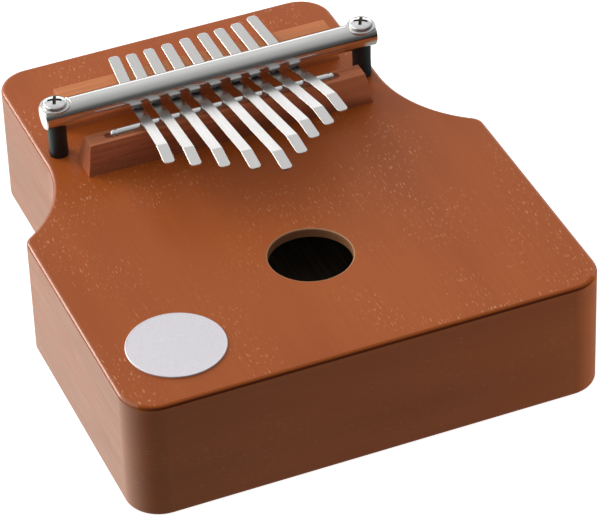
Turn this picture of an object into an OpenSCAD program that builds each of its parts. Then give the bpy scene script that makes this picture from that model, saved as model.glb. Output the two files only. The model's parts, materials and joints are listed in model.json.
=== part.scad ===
// Nine-tine box kalimba: a hollow wooden sound box whose tines are clamped
// over two wooden bridge blocks by a round steel bar.
// Units are millimetres. The origin is the centre of the underside,
// +Z is up and the player's side, where the tines point, is -Y.

/* [Sound box] */
// Width across the broad front end
body_w = 160; // [150:1:176]
// Length from the front edge to the back edge
body_l = 188.5; // [180:0.5:210]
// Height of the closed box
body_h = 43; // [30:1:60]
// Width of the narrow end that carries the bridge
neck_w = 119.6; // [118:0.2:126]
// Radius of the hollow in each side
waist_r = 44.5; // [42:0.5:50]
// Distance behind the centre at which each hollow begins
waist_y = 39.8; // [36:0.2:44]
// Radius of the shoulder between the hollow and the broad end
shoulder_r = 5; // [3:0.5:8]
// Radius of the four outer corners in plan
corner_r = 11.5; // [10.5:0.5:16]
// Thickness of the soundboard and of the back
plate_t = 3.2; // [3:0.1:5]
// Thickness of the side wall
wall_t = 10; // [9:0.5:10]
// Diameter of the sound hole
hole_d = 27.4; // [15:0.2:40]
// Distance of the sound hole in front of the centre
hole_y = 43; // [38:1:50]
// Depth of the strip glued under the soundboard below the bridge
brace_t = 5; // [3:0.5:8]
// Diameter of the plain metal disc near the front left corner
disc_d = 31.8; // [20:0.1:36]
// Thickness of the metal disc
disc_t = 0.6; // [0.4:0.1:1.2]

/* [Bridge] */
// Sideways offset of the two bridge blocks from the centre line
bridge_x = 1; // [-1.2:0.1:1.2]
// Distance of the clamp bar behind the centre
bar_y = 42.9; // [40:0.1:46]
// Length of a bridge block along its foot
block_l = 101; // [80:1:104]
// Height of a bridge block
block_h = 10.7; // [8:0.1:14]
// Depth of a bridge block at its foot
block_foot = 11.7; // [10:0.1:14]
// Lean of the outer long face of a block
block_lean_out = 1.9; // [0.5:0.1:2.5]
// Lean of the long face that looks towards the bar
block_lean_in = 3.4; // [1:0.1:4]
// Lean of each end of a block
block_lean_end = 1.8; // [0:0.1:3]
// Distance of the rest rod in front of the bar
rod_ahead = 11.9; // [11:0.1:13]
// Diameter of the rest rod
rod_d = 3; // [2:0.1:3.4]
// Length of the rest rod
rod_l = 79.6; // [72:0.2:84]
// Gap between the bar and the near edge of the rear block's top
rear_gap = 14.6; // [13:0.1:18]

/* [Clamp] */
// Sideways offset of the bar and its screws from the centre line
clamp_x = 0.4; // [-0.6:0.1:0.6]
// Diameter of the clamp bar
bar_d = 8.8; // [7:0.1:10]
// Length of the clamp bar
bar_l = 117.4; // [116:0.2:118.4]
// Distance between the two clamp screws
screw_span = 108.6; // [107.4:0.1:109]
// Depth of the flat seat that each screw washer sits on
seat_depth = 1.3; // [0.6:0.1:2]
// Outer diameter of the rubber sleeve under each end of the bar
sleeve_d = 6.6; // [5.6:0.1:7.4]
// Diameter of the screw shank
screw_d = 4; // [3:0.5:4]
// Length of the screw below its head
screw_l = 40; // [36:1:42]
// Diameter of the screw head
head_d = 8; // [7:0.1:9]
// Height of the domed screw head
head_h = 2; // [1.8:0.1:3]
// Outer diameter of the screw washer
washer_d = 10; // [9:0.5:11]
// Thickness of the screw washer
washer_t = 0.8; // [0.5:0.1:1.2]

/* [Tines] */
// Sideways offset of the middle tine from the centre line
tine_x = 1.6; // [-2:0.1:2]
// Width of a tine
tine_w = 3.8; // [3:0.1:4.4]
// Thickness of a tine
tine_t = 0.8; // [0.6:0.1:1]
// Spacing of the tines where they cross the rest rod
tine_pitch = 7.2; // [6.5:0.1:7.6]
// Angle in plan between one tine and the next
fan_step = 1.2; // [0:0.01:1.4]
// Rise of a tine for each unit of length from the bar to the line where it flexes
front_rise = 0.21; // [0.16:0.01:0.22]
// Rise of the free part of a tine for each unit of length
free_rise = 0.16; // [0.12:0.01:0.2]
// Rise of a tine for each unit of length behind the bar
rear_rise = 0.06; // [0.05:0.01:0.08]
// Fall of the bent tip for each unit of length
tip_fall = 0.12; // [0:0.01:0.3]
// Length of the bent tip
tip_l = 9; // [6:0.1:10]
// Distance from the rest rod to the line where the blade starts to flex
flex_ahead = 4; // [3.6:0.1:5]
// Distance from the rest rod to the bend near the tip, from left to right
knee_ahead = [20.5, 26.6, 32.4, 38.7, 44.3, 36.8, 29, 23, 16.5];
// Length of each tail behind the bar, from left to right
tail_behind = [28, 27, 27.3, 27.5, 27.9, 28.2, 28.4, 28.9, 30.6];
// Sideways setting of each tine from even spacing, from left to right
tine_shift = [0, -0.5, -0.5, -0.4, -0.1, 0.1, -0.2, -0.2, 0];

/* [Hidden] */
$fn = 64;
tine_count = len(knee_ahead);
middle_tine = (tine_count + 1) / 2;
clear = 0.02;
cut = 1;

// Plan of the box
waist_x = neck_w / 2 + waist_r;
shoulder_x = body_w / 2 - shoulder_r;
shoulder_y = waist_y - sqrt(pow(waist_r + shoulder_r, 2) - pow(waist_x - shoulder_x, 2));
rim_h = body_h - 2 * plate_t;

// Bridge and clamp heights, measured up from the soundboard
rod_y = bar_y - rod_ahead;
rod_inset = 3.4;
rod_z = block_h + 0.1;
rest_gap = 0.25;
bar_gap = 0.18;
bend_half = 1.5;
front_slope = sqrt(1 + pow(front_rise, 2));
tine_rod_z = rod_z + (rod_d / 2 + rest_gap + tine_t / 2) * front_slope;
tine_low_z = tine_rod_z - front_rise * rod_ahead;
bar_bottom_z = tine_low_z + bend_half * (front_rise + rear_rise) / 2 + tine_t / 2 + bar_gap;
bar_z = bar_bottom_z + bar_d / 2;
seat_z = bar_z + bar_d / 2 - seat_depth;
head_z = seat_z + washer_t;
bore_d = screw_d + 0.4;
flex_gap = 0.1;
tip_corner = 1.3;

tine_names = [for (i = [1:tine_count]) str("tine_", i)];

// ---- Plan outline -------------------------------------------------------

// A slab symmetric about x = 0 whose far end, at y_round, has two round corners.
module slab_2d(half_w, y_flat, y_round, r) {
  side = sign(y_round - y_flat);
  y_corner = y_round - side * r;
  translate([-half_w, min(y_flat, y_corner)])
    square([2 * half_w, abs(y_corner - y_flat)]);
  translate([-half_w + r, min(y_corner, y_round)])
    square([2 * (half_w - r), r]);
  for (x = [-half_w + r, half_w - r])
    translate([x, y_corner]) circle(r = r);
}

module waist_circles(r) {
  for (side = [-1, 1])
    translate([side * waist_x, waist_y]) circle(r = r, $fn = 128);
}

// The outside of the box: a broad end and a narrow end, joined by two hollows
// whose front ends are rounded by the shoulders.
module box_outline() {
  reach = waist_r / (waist_r + shoulder_r);
  join_x = waist_x + reach * (shoulder_x - waist_x);
  join_y = waist_y + reach * (shoulder_y - waist_y);
  half_neck = neck_w / 2;
  slab_2d(body_w / 2, shoulder_y, -body_l / 2, corner_r);
  slab_2d(half_neck, shoulder_y, body_l / 2, corner_r);
  difference() {
    polygon([
      [-shoulder_x, shoulder_y - cut], [shoulder_x, shoulder_y - cut], [shoulder_x, shoulder_y],
      [join_x, join_y], [half_neck, waist_y], [-half_neck, waist_y], [-join_x, join_y],
      [-shoulder_x, shoulder_y]
    ]);
    waist_circles(waist_r);
  }
  for (side = [-1, 1])
    translate([side * shoulder_x, shoulder_y]) circle(r = shoulder_r);
}

// The hollow inside the wall. Its waist arcs end at plain corners.
module cavity_outline() {
  half_w = body_w / 2 - wall_t;
  half_neck = neck_w / 2 - wall_t;
  r_corner = corner_r - wall_t;
  arc_end_y = waist_y - sqrt(pow(waist_r + wall_t, 2) - pow(waist_x - half_w, 2));
  front_y = arc_end_y - cut;
  slab_2d(half_w, front_y, -body_l / 2 + wall_t, r_corner);
  slab_2d(half_neck, front_y, body_l / 2 - wall_t, r_corner);
  difference() {
    translate([-half_w, front_y]) square([2 * half_w, waist_y - front_y]);
    waist_circles(waist_r + wall_t);
  }
}

// ---- Sound box ----------------------------------------------------------

module screw_positions() {
  for (side = [-1, 1])
    translate([clamp_x + side * screw_span / 2, bar_y, 0]) children();
}

module soundboard() {
  color("#a4573a")
    difference() {
      translate([0, 0, body_h - plate_t])
        linear_extrude(plate_t) box_outline();
      translate([0, -hole_y, body_h - plate_t - cut])
        cylinder(h = plate_t + 2 * cut, d = hole_d);
      screw_positions()
        translate([0, 0, body_h - plate_t - cut])
          cylinder(h = plate_t + 2 * cut, d = bore_d);
    }
}

module side_rim() {
  pilot_h = screw_l;
  color("#7d4030")
    difference() {
      translate([0, 0, plate_t])
        linear_extrude(rim_h)
          difference() {
            box_outline();
            cavity_outline();
          }
      screw_positions()
        translate([0, 0, body_h + head_z - pilot_h - cut])
          cylinder(h = pilot_h, d = screw_d + 2 * clear);
    }
}

module back_plate() {
  color("#7d4030")
    linear_extrude(plate_t) box_outline();
}

module bridge_brace() {
  brace_w = neck_w - 2 * wall_t;
  brace_l = 44;
  color("#c9a06a")
    translate([-brace_w / 2, bar_y - brace_l / 2, body_h - plate_t - brace_t])
      cube([brace_w, brace_l, brace_t]);
}

module trim_disc() {
  disc_x = -55.3;
  disc_y = -68.3;
  edge = 0.2;
  color("#d8d8da")
    translate([disc_x, disc_y, body_h]) {
      cylinder(h = disc_t - edge, d = disc_d);
      translate([0, 0, disc_t - edge])
        cylinder(h = edge, d1 = disc_d, d2 = disc_d - 2 * edge);
    }
}

// ---- Bridge -------------------------------------------------------------

// A block whose outer long face stands along y = 0 and whose foot runs back to +Y.
module bridge_block() {
  half_l = block_l / 2;
  intersection() {
    rotate([90, 0, 90])
      linear_extrude(block_l, center = true)
        polygon([
          [0, 0], [block_foot, 0], [block_foot - block_lean_in, block_h], [block_lean_out, block_h]
        ]);
    translate([0, block_foot + cut, 0])
      rotate([90, 0, 0])
        linear_extrude(block_foot + 2 * cut)
          polygon([
            [-half_l, 0], [half_l, 0],
            [half_l - block_lean_end, block_h], [-half_l + block_lean_end, block_h]
          ]);
  }
}

module front_bridge_block() {
  groove_r = rod_d / 2 + clear;
  groove_l = rod_l + 0.6;
  front_y = rod_y - rod_inset - block_lean_out;
  color("#8a5238")
    difference() {
      translate([bridge_x, front_y, body_h]) bridge_block();
      translate([0, rod_y, body_h + rod_z]) {
        rotate([0, 90, 0]) cylinder(h = groove_l, r = groove_r, center = true);
        for (side = [-1, 1])
          translate([side * groove_l / 2, 0, 0]) sphere(r = groove_r);
      }
    }
}

module rear_bridge_block() {
  back_y = bar_y + rear_gap + block_foot - block_lean_in;
  color("#b06a3c")
    translate([bridge_x, back_y, body_h]) mirror([0, 1, 0]) bridge_block();
}

module rest_rod() {
  chamfer = 0.5;
  color("#c4c6c8")
    translate([0, rod_y, body_h + rod_z])
      rotate([0, 90, 0]) {
        cylinder(h = rod_l - 2 * chamfer, d = rod_d, center = true);
        for (side = [0, 1])
          mirror([0, 0, side])
            translate([0, 0, rod_l / 2 - chamfer])
              cylinder(h = chamfer, d1 = rod_d, d2 = rod_d - 2 * chamfer);
      }
}

// ---- Clamp --------------------------------------------------------------

module bar_solid() {
  translate([clamp_x, bar_y, body_h + bar_z])
    rotate([0, 90, 0])
      cylinder(h = bar_l, d = bar_d, center = true);
}

module clamp_bar() {
  seat_cut_d = washer_d + 0.4;
  color("#b9bbbe")
    difference() {
      bar_solid();
      screw_positions() {
        translate([0, 0, body_h + bar_z - bar_d]) cylinder(h = 2 * bar_d, d = bore_d);
        translate([0, 0, body_h + seat_z]) cylinder(h = bar_d, d = seat_cut_d);
      }
    }
}

// A rubber tube whose top is pressed into a saddle under the bar.
module sleeve(side) {
  sleeve_top = bar_bottom_z + sleeve_d / 4;
  color("#1b1c1e")
    difference() {
      translate([clamp_x + side * screw_span / 2, bar_y, body_h])
        difference() {
          cylinder(h = sleeve_top, d = sleeve_d);
          translate([0, 0, -cut]) cylinder(h = sleeve_top + 2 * cut, d = bore_d);
        }
      bar_solid();
    }
}

// The dome is a cap of a sphere, cut by a crossed recess.
module screw_head() {
  rim_t = 0.9;
  dome_h = head_h - rim_t;
  dome_r = (pow(head_d / 2, 2) + pow(dome_h, 2)) / (2 * dome_h);
  recess_w = 1;
  recess_l = 4.4;
  recess_depth = 1.3;
  difference() {
    union() {
      cylinder(h = rim_t, d = head_d);
      translate([0, 0, rim_t])
        intersection() {
          translate([0, 0, dome_h - dome_r]) sphere(r = dome_r, $fn = 128);
          cylinder(h = dome_h, d = head_d);
        }
    }
    for (turn = [0, 90])
      rotate([0, 0, turn])
        translate([-recess_l / 2, -recess_w / 2, head_h - recess_depth])
          cube([recess_l, recess_w, recess_depth + cut]);
  }
}

module clamp_screws() {
  point_l = 5;
  color("#d5d6d8")
    screw_positions()
      translate([0, 0, body_h + head_z]) {
        screw_head();
        translate([0, 0, -screw_l + point_l]) cylinder(h = screw_l - point_l, d = screw_d);
        translate([0, 0, -screw_l]) cylinder(h = point_l, d1 = cut, d2 = screw_d);
      }
}

module screw_washers() {
  color("#cfd0d2")
    screw_positions()
      translate([0, 0, body_h + seat_z])
        difference() {
          cylinder(h = washer_t, d = washer_d);
          translate([0, 0, -cut]) cylinder(h = washer_t + 2 * cut, d = bore_d);
        }
}

// ---- Tines --------------------------------------------------------------

// Places its children with the origin on the rest rod's axis, at the soundboard,
// and with -Y running forward along tine i.
module at_tine(i) {
  step = i - middle_tine;
  translate([tine_x + step * tine_pitch + tine_shift[i - 1], rod_y, body_h])
    rotate([0, 0, step * fan_step])
      children();
}

// A flat strip of thickness tine_t along a side profile given as [y, z] points.
module strip(points) {
  rotate([90, 0, 90])
    linear_extrude(tine_w, center = true)
      for (k = [0 : len(points) - 2]) {
        run = points[k + 1] - points[k];
        translate(points[k])
          rotate(atan2(run[1], run[0]))
            translate([0, -tine_t / 2]) square([norm(run), tine_t]);
        if (k > 0) translate(points[k]) circle(d = tine_t);
      }
}

// Height of a tine at a distance ahead of the rod, as far as its knee.
function front_z(ahead) =
  tine_rod_z + front_rise * min(ahead, flex_ahead) + free_rise * max(ahead - flex_ahead, 0);

module tine_shank(i) {
  tail = tail_behind[i - 1];
  split = flex_ahead - flex_gap;
  color("#b4b7ba")
    at_tine(i)
      strip([
        [-split, front_z(split)],
        [rod_ahead - bend_half, tine_low_z + front_rise * bend_half],
        [rod_ahead + bend_half, tine_low_z + rear_rise * bend_half],
        [rod_ahead + tail, tine_low_z + rear_rise * tail]
      ]);
}

module tine_blade(i) {
  knee = knee_ahead[i - 1];
  tip_slope = atan(tip_fall);
  round_l = 2 * tip_corner;
  flat_l = tip_l - tip_corner;
  color("#c8cacc")
    at_tine(i) {
      strip([
        [-knee - flat_l * cos(tip_slope), front_z(knee) - flat_l * sin(tip_slope)],
        [-knee, front_z(knee)],
        [-flex_ahead, front_z(flex_ahead)]
      ]);
      translate([0, -knee, front_z(knee)])
        rotate([tip_slope, 0, 0])
          translate([0, 0, -tine_t / 2])
            linear_extrude(tine_t)
              slab_2d(tine_w / 2, round_l - tip_l, -tip_l, tip_corner);
    }
}

// ---- Nodes --------------------------------------------------------------

soundboard();
side_rim();
back_plate();
bridge_brace();
trim_disc();
front_bridge_block();
rear_bridge_block();
rest_rod();
clamp_bar();
sleeve(-1);  // left_sleeve
sleeve(1);  // right_sleeve
clamp_screws();
screw_washers();
for (i = [1:tine_count]) tine_shank(i);
for (i = [1:tine_count]) tine_blade(i);
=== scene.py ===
import json
import math

import bmesh
import bpy
from mathutils import Matrix, Vector
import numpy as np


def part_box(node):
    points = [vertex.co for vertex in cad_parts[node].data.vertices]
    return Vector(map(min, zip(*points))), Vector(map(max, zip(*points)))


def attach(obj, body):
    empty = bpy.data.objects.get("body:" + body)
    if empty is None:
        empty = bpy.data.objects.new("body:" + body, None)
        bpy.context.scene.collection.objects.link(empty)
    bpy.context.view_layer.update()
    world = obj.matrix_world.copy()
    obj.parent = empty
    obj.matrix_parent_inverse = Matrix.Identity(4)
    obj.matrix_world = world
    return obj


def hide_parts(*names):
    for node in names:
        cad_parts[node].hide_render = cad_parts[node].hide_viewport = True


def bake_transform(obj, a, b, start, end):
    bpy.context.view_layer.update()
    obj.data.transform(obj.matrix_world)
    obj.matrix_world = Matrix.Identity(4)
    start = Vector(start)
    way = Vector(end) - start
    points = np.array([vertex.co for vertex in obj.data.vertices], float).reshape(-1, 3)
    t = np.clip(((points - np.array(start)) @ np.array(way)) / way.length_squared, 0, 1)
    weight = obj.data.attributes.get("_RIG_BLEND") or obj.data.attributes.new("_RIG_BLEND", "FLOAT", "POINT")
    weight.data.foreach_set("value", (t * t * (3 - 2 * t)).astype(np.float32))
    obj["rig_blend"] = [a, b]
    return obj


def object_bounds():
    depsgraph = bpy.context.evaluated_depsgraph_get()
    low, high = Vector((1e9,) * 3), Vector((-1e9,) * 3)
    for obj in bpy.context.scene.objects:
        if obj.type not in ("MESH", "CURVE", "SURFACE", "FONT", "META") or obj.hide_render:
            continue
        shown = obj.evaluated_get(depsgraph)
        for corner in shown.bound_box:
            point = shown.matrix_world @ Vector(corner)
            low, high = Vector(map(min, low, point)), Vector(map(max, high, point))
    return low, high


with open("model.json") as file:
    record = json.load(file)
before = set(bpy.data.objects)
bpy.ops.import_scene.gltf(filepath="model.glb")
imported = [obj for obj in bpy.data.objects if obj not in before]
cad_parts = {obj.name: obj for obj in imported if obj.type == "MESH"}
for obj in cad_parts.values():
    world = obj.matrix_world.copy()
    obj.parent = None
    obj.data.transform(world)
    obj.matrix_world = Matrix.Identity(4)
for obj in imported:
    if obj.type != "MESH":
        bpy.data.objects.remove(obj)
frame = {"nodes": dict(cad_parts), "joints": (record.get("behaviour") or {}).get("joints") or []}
cad_low, cad_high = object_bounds()

MM = 0.001
BODY = "box"
TINE_COUNT = 9


# ---- Camera ------------------------------------------------------------------

# Place in metres, angles in degrees, lens and sensor in millimetres.
CAMERA_PLACE = Vector((-0.34557, -0.92738, 0.76485))
CAMERA_AZIMUTH = -21.14
CAMERA_ELEVATION = 37.29
CAMERA_ROLL = -2.32
CAMERA_LENS = 226.11
SENSOR_WIDTH = 36.0
CLIP_START = 0.05
CLIP_END = 20.0


def link(obj):
    bpy.context.scene.collection.objects.link(obj)
    return obj


def turn(degrees, axis):
    return Matrix.Rotation(math.radians(degrees), 4, axis)


def make_camera():
    data = bpy.data.cameras.new("camera")
    data.lens = CAMERA_LENS
    data.sensor_width = SENSOR_WIDTH
    data.sensor_fit = "HORIZONTAL"
    data.clip_start = CLIP_START
    data.clip_end = CLIP_END
    camera = link(bpy.data.objects.new("camera", data))
    aim = turn(CAMERA_AZIMUTH, "Z") @ turn(90 - CAMERA_ELEVATION, "X") @ turn(CAMERA_ROLL, "Z")
    camera.matrix_world = Matrix.Translation(CAMERA_PLACE) @ aim
    bpy.context.scene.camera = camera


make_camera()


# ---- Shader helpers ----------------------------------------------------------

def add(tree, kind, inputs=None, **settings):
    """Adds a node. A socket given as an input's value is linked, anything else is set."""
    made = tree.nodes.new(kind)
    for key, value in settings.items():
        setattr(made, key, value)
    for key, value in (inputs or {}).items():
        if isinstance(value, bpy.types.NodeSocket):
            tree.links.new(value, made.inputs[key])
        else:
            made.inputs[key].default_value = value
    return made


def math_node(tree, operation, a, b=0.0, clamp=False):
    return add(tree, "ShaderNodeMath", {0: a, 1: b}, operation=operation, use_clamp=clamp).outputs[0]


def remap(tree, value, low, high, to_low=0.0, to_high=1.0):
    inputs = {"Value": value, "From Min": low, "From Max": high, "To Min": to_low, "To Max": to_high}
    return add(tree, "ShaderNodeMapRange", inputs, interpolation_type="SMOOTHSTEP").outputs["Result"]


def mix_colour(tree, factor, a, b):
    made = add(tree, "ShaderNodeMix", data_type="RGBA")
    for socket, value in ((made.inputs[0], factor), (made.inputs[6], a), (made.inputs[7], b)):
        if isinstance(value, bpy.types.NodeSocket):
            tree.links.new(value, socket)
        else:
            socket.default_value = value
    return made.outputs[2]


def scaled_coords(tree, source, scale):
    """Coordinates in metres, multiplied to features per metre along each axis."""
    return add(tree, "ShaderNodeMapping", {"Vector": source, "Scale": scale}).outputs["Vector"]


def noise_at(tree, coords, scale, detail=3.0, roughness=0.5):
    """Noise with its own number of features per metre along each axis."""
    inputs = {"Vector": scaled_coords(tree, coords, scale), "Scale": 1.0}
    inputs.update({"Detail": detail, "Roughness": roughness})
    return add(tree, "ShaderNodeTexNoise", inputs).outputs["Fac"]


def start_material(name, **fixed):
    """A material with a Principled shader whose constant sockets are set directly."""
    material = bpy.data.materials.new(name)
    material.use_nodes = True
    tree = material.node_tree
    tree.nodes.clear()
    shader = add(tree, "ShaderNodeBsdfPrincipled")
    out = add(tree, "ShaderNodeOutputMaterial")
    tree.links.new(shader.outputs["BSDF"], out.inputs["Surface"])
    for key, value in fixed.items():
        shader.inputs[key.replace("_", " ")].default_value = value
    return material, tree, shader


def bump(tree, shader, height, distance, strength=1.0):
    inputs = {"Height": height, "Distance": distance, "Strength": strength}
    made = add(tree, "ShaderNodeBump", inputs)
    tree.links.new(made.outputs["Normal"], shader.inputs["Normal"])


def rgb(r, g, b):
    return (r, g, b, 1.0)


# ---- Materials ---------------------------------------------------------------

FLECK_TONE = rgb(0.72, 0.38, 0.2)
WORN_METAL = rgb(0.95, 0.95, 0.95)
# Share of a wood's light tone for each unit of the wear attribute, which carries real wear and also painted
# highlights and the fade-out of painted shade.
WOOD_WEAR_AND_PAINTED_LIGHT = 0.35
METAL_WEAR = 0.6
PORE_DEPTH = 0.03 * MM
BRUSH_DEPTH = 0.004 * MM


def wood(name, dark, mid, light, flecks, rough=0.36, sheen=0.5, streak=1.0):
    """Varnished wood whose grain runs along V, with U and V in metres.
    Broad bands, fine fibres, short pores and a patchy scatter of pale flecks."""
    material, tree, shader = start_material(name, Specular_IOR_Level=sheen, IOR=1.5)
    uv = add(tree, "ShaderNodeUVMap", uv_map="grain").outputs["UV"]
    wear_and_painted_light = add(tree, "ShaderNodeAttribute", attribute_name="wear_and_painted_light").outputs["Fac"]
    bands = noise_at(tree, uv, (55, 5, 1), 3.0)
    fibres = noise_at(tree, uv, (1100, 32, 1), 4.0, 0.6)
    hairs = noise_at(tree, uv, (3600, 160, 1), 2.0)
    clouds = noise_at(tree, uv, (9, 7, 1), 2.0)
    tone = mix_colour(tree, remap(tree, bands, 0.3, 0.7), dark, mid)
    tone = mix_colour(tree, remap(tree, clouds, 0.4, 0.72, 0.0, 0.6), tone, light)
    fibre_share = remap(tree, fibres, 0.35, 0.68, 0.0, 0.5 * streak)
    tone = mix_colour(tree, fibre_share, tone, dark)
    pores = remap(tree, noise_at(tree, uv, (2100, 190, 1), 1.0), 0.66, 0.74)
    tone = mix_colour(tree, math_node(tree, "MULTIPLY", pores, 0.35 * streak), tone, dark)
    fleck_noise = noise_at(tree, uv, (1600, 420, 1), 1.0)
    patches = remap(tree, noise_at(tree, uv, (34, 26, 1), 2.0), 0.44, 0.6, 0.05, 1.0)
    fleck = math_node(tree, "MULTIPLY", remap(tree, fleck_noise, 0.63, 0.71), patches, clamp=True)
    tone = mix_colour(tree, math_node(tree, "MULTIPLY", fleck, flecks), tone, FLECK_TONE)
    # Lighter towards the light tone by the wear attribute: real wear, plus painted highlights on rounded
    # edges and hole rims, and the fade-out of the painted shade on the front edge.
    tone = mix_colour(tree, math_node(tree, "MULTIPLY", wear_and_painted_light, WOOD_WEAR_AND_PAINTED_LIGHT), tone, light)
    tree.links.new(tone, shader.inputs["Base Color"])
    dullness = remap(tree, fibres, 0.2, 0.8, rough - 0.05, rough + 0.07)
    tree.links.new(dullness, shader.inputs["Roughness"])
    sunk_pores = math_node(tree, "MULTIPLY", pores, -0.7)
    raised_hairs = math_node(tree, "MULTIPLY", hairs, 0.25)
    bump(tree, shader, math_node(tree, "ADD", sunk_pores, raised_hairs), PORE_DEPTH)
    return material


def steel(name, tint, rough, streaks):
    """Bright metal with fine lines along V and a slightly uneven sheen."""
    material, tree, shader = start_material(name, Metallic=1.0)
    uv = add(tree, "ShaderNodeUVMap", uv_map="grain").outputs["UV"]
    wear_and_painted_light = add(tree, "ShaderNodeAttribute", attribute_name="wear_and_painted_light").outputs["Fac"]
    lines = noise_at(tree, uv, (9000, 90, 1), 3.0, 0.6)
    smears = noise_at(tree, uv, (160, 60, 1), 3.0)
    darker = tuple(0.82 * c for c in tint[:3]) + (1.0,)
    tone = mix_colour(tree, remap(tree, smears, 0.3, 0.75, 0.0, 0.25), tint, darker)
    tone = mix_colour(tree, remap(tree, lines, 0.35, 0.7, 0.0, streaks), tone, darker)
    tone = mix_colour(tree, math_node(tree, "MULTIPLY", wear_and_painted_light, METAL_WEAR), tone, WORN_METAL)
    tree.links.new(tone, shader.inputs["Base Color"])
    smear_rough = remap(tree, smears, 0.3, 0.8, rough * 0.85, rough * 1.2)
    line_rough = remap(tree, lines, 0.3, 0.7, 0.0, 0.3 * streaks * rough)
    tree.links.new(math_node(tree, "ADD", smear_rough, line_rough), shader.inputs["Roughness"])
    bump(tree, shader, lines, BRUSH_DEPTH, streaks)
    return material


def chrome(name):
    """Polished plating with faint polishing swirls, in object space."""
    material, tree, shader = start_material(name, Metallic=1.0)
    place = add(tree, "ShaderNodeTexCoord").outputs["Object"]
    swirl = noise_at(tree, place, (900, 900, 900), 3.0)
    tone = mix_colour(tree, remap(tree, swirl, 0.3, 0.7), rgb(0.78, 0.78, 0.79), rgb(0.9, 0.9, 0.9))
    tree.links.new(tone, shader.inputs["Base Color"])
    tree.links.new(remap(tree, swirl, 0.3, 0.8, 0.07, 0.15), shader.inputs["Roughness"])
    bump(tree, shader, noise_at(tree, place, (300, 300, 300), 2.0), BRUSH_DEPTH)
    return material


def rubber(name):
    """Black rubber with a dusty, slightly pitted skin."""
    material, tree, shader = start_material(name, IOR=1.5)
    place = add(tree, "ShaderNodeTexCoord").outputs["Object"]
    dust = noise_at(tree, place, (500, 500, 160), 4.0)
    pits = noise_at(tree, place, (3500, 3500, 3500), 2.0)
    black, dusty = rgb(0.004, 0.015, 0.019), rgb(0.012, 0.03, 0.037)
    tone = mix_colour(tree, remap(tree, dust, 0.45, 0.8), black, dusty)
    tree.links.new(tone, shader.inputs["Base Color"])
    tree.links.new(remap(tree, dust, 0.3, 0.8, 0.34, 0.5), shader.inputs["Roughness"])
    bump(tree, shader, pits, 0.01 * MM)
    return material


def foil(name):
    """Silver foil with a fine sparkle."""
    material, tree, shader = start_material(name, Metallic=0.75)
    place = add(tree, "ShaderNodeTexCoord").outputs["Object"]
    sparkle = noise_at(tree, place, (4500, 4500, 4500), 2.0)
    clouds = noise_at(tree, place, (90, 90, 90), 3.0)
    dim, bright = rgb(0.72, 0.7, 0.745), rgb(0.92, 0.9, 0.95)
    tone = mix_colour(tree, remap(tree, sparkle, 0.35, 0.65), dim, bright)
    tone = mix_colour(tree, remap(tree, clouds, 0.4, 0.75, 0.0, 0.35), tone, rgb(0.8, 0.78, 0.83))
    tree.links.new(tone, shader.inputs["Base Color"])
    tree.links.new(remap(tree, sparkle, 0.3, 0.7, 0.34, 0.48), shader.inputs["Roughness"])
    bump(tree, shader, sparkle, 0.006 * MM)
    return material


def bare_lining(name):
    """Bare wood inside the box."""
    material, tree, shader = start_material(name, IOR=1.45)
    place = add(tree, "ShaderNodeTexCoord").outputs["Object"]
    fibre = noise_at(tree, place, (700, 40, 700), 4.0)
    dark, pale = rgb(0.3, 0.25, 0.19), rgb(0.42, 0.35, 0.27)
    tone = mix_colour(tree, remap(tree, fibre, 0.3, 0.7), dark, pale)
    tree.links.new(tone, shader.inputs["Base Color"])
    tree.links.new(remap(tree, fibre, 0.3, 0.7, 0.75, 0.95), shader.inputs["Roughness"])
    bump(tree, shader, fibre, 0.05 * MM)
    return material


def bare_spruce(name):
    """Raw pale wood of the hidden brace, with its grain along X."""
    material, tree, shader = start_material(name, IOR=1.45)
    place = add(tree, "ShaderNodeTexCoord").outputs["Object"]
    rings = noise_at(tree, place, (10, 420, 420), 4.0)
    dark, pale = rgb(0.38, 0.22, 0.1), rgb(0.62, 0.42, 0.22)
    tone = mix_colour(tree, remap(tree, rings, 0.3, 0.7), dark, pale)
    tree.links.new(tone, shader.inputs["Base Color"])
    tree.links.new(remap(tree, rings, 0.3, 0.7, 0.6, 0.8), shader.inputs["Roughness"])
    bump(tree, shader, rings, 0.06 * MM)
    return material


BOX_DARK = rgb(0.36, 0.08, 0.013)
BOX_MID = rgb(0.42, 0.097, 0.016)
BOX_LIGHT = rgb(0.47, 0.115, 0.022)
top_wood = wood("top_wood", BOX_DARK, BOX_MID, BOX_LIGHT, flecks=0.6, sheen=0.2, streak=0.7)
edge_wood = wood("edge_wood", BOX_DARK, BOX_MID, BOX_LIGHT, flecks=0.3, rough=0.26, sheen=0.75)
wall_wood = wood("wall_wood", BOX_DARK, BOX_MID, BOX_LIGHT, flecks=0.18, sheen=0.65, streak=0.6)
# Painted shade: a darker, duller copy of the box's wood for the front edge's round, standing in for the dark
# reflection there.
front_edge_painted_shade = wood("front_edge_painted_shade", rgb(0.11, 0.022, 0.008), rgb(0.15, 0.033, 0.012), BOX_MID,
                    flecks=0.1, rough=0.6, sheen=0.1)
hole_wood = wood("hole_wood", rgb(0.3, 0.13, 0.06), rgb(0.5, 0.25, 0.12), rgb(0.62, 0.35, 0.19),
                 flecks=0.2, rough=0.6, sheen=0.2)
dark_wood = wood("dark_wood", rgb(0.3, 0.085, 0.035), rgb(0.56, 0.165, 0.075), rgb(0.7, 0.25, 0.115),
                 flecks=0.25, rough=0.5, sheen=0.25, streak=1.8)
light_wood = wood("light_wood", rgb(0.4, 0.115, 0.035), rgb(0.58, 0.175, 0.058), rgb(0.72, 0.28, 0.1),
                  flecks=0.3, rough=0.5, sheen=0.25, streak=1.5)
tine_steel = steel("tine_steel", rgb(0.74, 0.73, 0.715), rough=0.2, streaks=0.5)
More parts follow.
